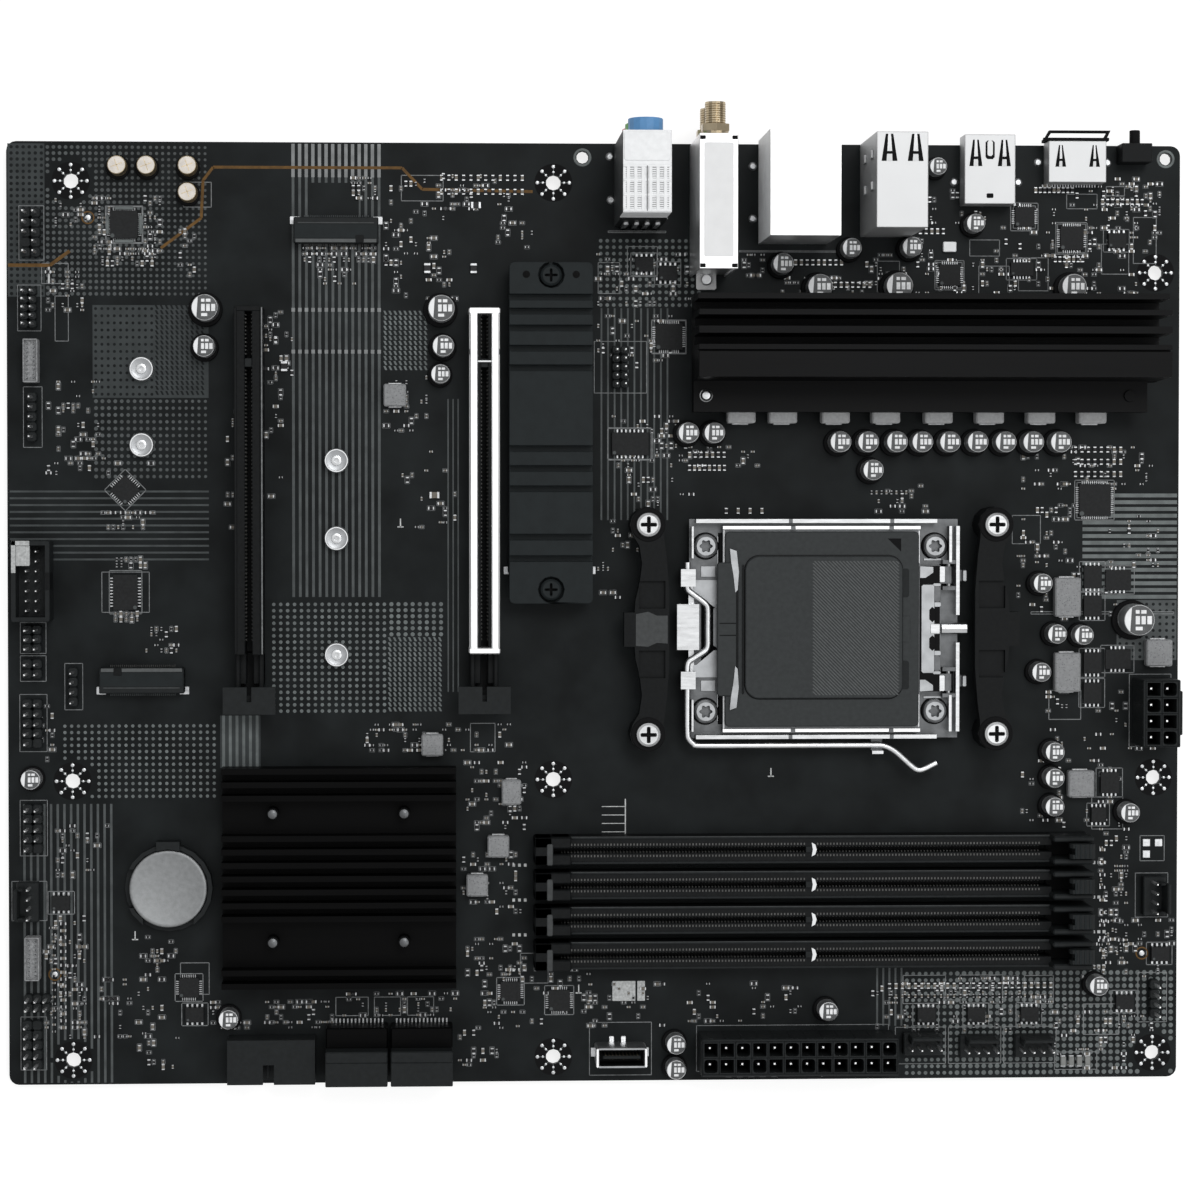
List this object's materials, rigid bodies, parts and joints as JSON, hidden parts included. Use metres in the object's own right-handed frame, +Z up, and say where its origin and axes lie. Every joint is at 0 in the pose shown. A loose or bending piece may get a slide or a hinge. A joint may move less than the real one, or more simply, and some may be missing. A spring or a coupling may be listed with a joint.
{
  "type": "motherboard",
  "caption": "ATX motherboard with processor socket and load lever, memory and expansion slots, finned heatsinks, rear connectors and hinged latches.",
  "frame": {"origin": "middle of the bounding box seen from above, at the lowest point of the solder tails and backplate", "axes": "+X to the right along the rear edge seen from above, +Y out through the rear connectors, +Z up from the component side"},
  "size_m": [0.3048, 0.2518, 0.0388],
  "materials": {
    "laminate": "satin black solder mask",
    "black_metal": "black anodised",
    "steel": "nickel plated",
    "tin": "bright tin plate",
    "gold": "gold plated",
    "black_plastic": "fine matt",
    "grey_plastic": "satin",
    "rubber": "matt"
  },
  "bodies": {
    "board": {"circuit_board": "laminate", "converter_heatsink": "black_metal", "chipset_heatsink": "black_metal", "socket_body": "black_plastic", "socket_frame": "steel", "backplate": "black_metal", "cooler_bracket_right": "black_plastic", "cooler_bracket_left": "black_plastic", "bracket_screw_1": "steel", "clamp_screw_1": "steel", "bracket_screw_2": "steel", "clamp_screw_2": "steel", "bracket_screw_3": "steel", "clamp_screw_3": "steel", "bracket_screw_4": "steel", "clamp_screw_4": "steel", "memory_slot_1": "black_plastic", "memory_slot_2": "black_plastic", "memory_slot_3": "black_plastic", "memory_slot_4": "black_plastic", "expansion_slot_1": "black_plastic", "expansion_slot_2": "black_plastic", "slot_shield": "tin", "module_connector_1": "black_plastic", "module_connector_2": "black_plastic", "module_connector_3": "black_plastic", "board_power": "black_plastic", "processor_power": "black_plastic", "storage_stack_1": "black_plastic", "storage_stack_2": "black_plastic", "panel_usb_header": "black_plastic", "panel_usbc_header": "tin", "box_header": "black_plastic", "fan_header_1": "black_plastic", "audio_jacks": "grey_plastic", "wireless_box": "tin", "aerial_socket_1": "gold", "aerial_socket_2": "gold", "network_port": "tin", "usb_stack": "tin", "usb_port": "tin", "display_port": "tin", "button_body": "black_plastic", "cell_holder": "black_plastic"},
    "module_cover": {"module_heatsink": "black_metal", "module_screw_1": "steel", "module_screw_2": "steel"},
    "lever": {"load_lever": "steel"},
    "plate": {"load_plate": "steel"},
    "cover": {"socket_cover": "black_plastic"},
    "button": {"button_plunger": "black_plastic"},
    "cell": {"coin_cell": "steel"},
    "plug": {"display_plug": "rubber"},
    "latch_1": {"memory_latch_1": "black_plastic"},
    "latch_2": {"memory_latch_2": "black_plastic"},
    "latch_3": {"memory_latch_3": "black_plastic"},
    "latch_4": {"memory_latch_4": "black_plastic"},
    "card_latch_1": {"expansion_latch_1": "black_plastic"},
    "card_latch_2": {"expansion_latch_2": "black_plastic"}
  },
  "joints": [
    {"name": "lever_turn", "type": "hinge", "parent": "board", "child": "lever", "pos_m": [0.023, -0.00778, 0.0098], "axis": [0, -1, 0], "range_deg": [0, 135]},
    {"name": "plate_turn", "type": "hinge", "parent": "board", "child": "plate", "pos_m": [0.0908, -0.00778, 0.0094], "axis": [0, 1, 0], "range_deg": [0, 95]},
    {"name": "cover_lift", "type": "slide", "parent": "plate", "child": "cover", "axis": [0, 0, 1], "range_m": [0, 0.008]},
    {"name": "memory_latch_turn_1", "type": "hinge", "parent": "board", "child": "latch_1", "pos_m": [0.1253, -0.06498, 0.007], "axis": [0, 1, 0], "range_deg": [0, 28]},
    {"name": "memory_latch_turn_2", "type": "hinge", "parent": "board", "child": "latch_2", "pos_m": [0.1253, -0.07408, 0.007], "axis": [0, 1, 0], "range_deg": [0, 28]},
    {"name": "memory_latch_turn_3", "type": "hinge", "parent": "board", "child": "latch_3", "pos_m": [0.1253, -0.08318, 0.007], "axis": [0, 1, 0], "range_deg": [0, 28]},
    {"name": "memory_latch_turn_4", "type": "hinge", "parent": "board", "child": "latch_4", "pos_m": [0.1253, -0.09228, 0.007], "axis": [0, 1, 0], "range_deg": [0, 28]},
    {"name": "card_latch_turn_1", "type": "hinge", "parent": "board", "child": "card_latch_1", "pos_m": [-0.0295, -0.02678, 0.0068], "axis": [1, 0, 0], "range_deg": [0, 25]},
    {"name": "card_latch_turn_2", "type": "hinge", "parent": "board", "child": "card_latch_2", "pos_m": [-0.0898, -0.02678, 0.0068], "axis": [1, 0, 0], "range_deg": [0, 25]},
    {"name": "button_press", "type": "slide", "parent": "board", "child": "button", "axis": [0, -1, 0], "range_m": [0, 0.0012], "stiffness_N_per_m": 400},
    {"name": "cell_lift", "type": "slide", "parent": "board", "child": "cell", "axis": [0, 0, 1], "range_m": [0, 0.012]},
    {"name": "module_cover_lift", "type": "slide", "parent": "board", "child": "module_cover", "axis": [0, 0, 1], "range_m": [0, 0.02]},
    {"name": "plug_pull", "type": "slide", "parent": "board", "child": "plug", "axis": [0, 1, 0], "range_m": [0, 0.012]}
  ]
}
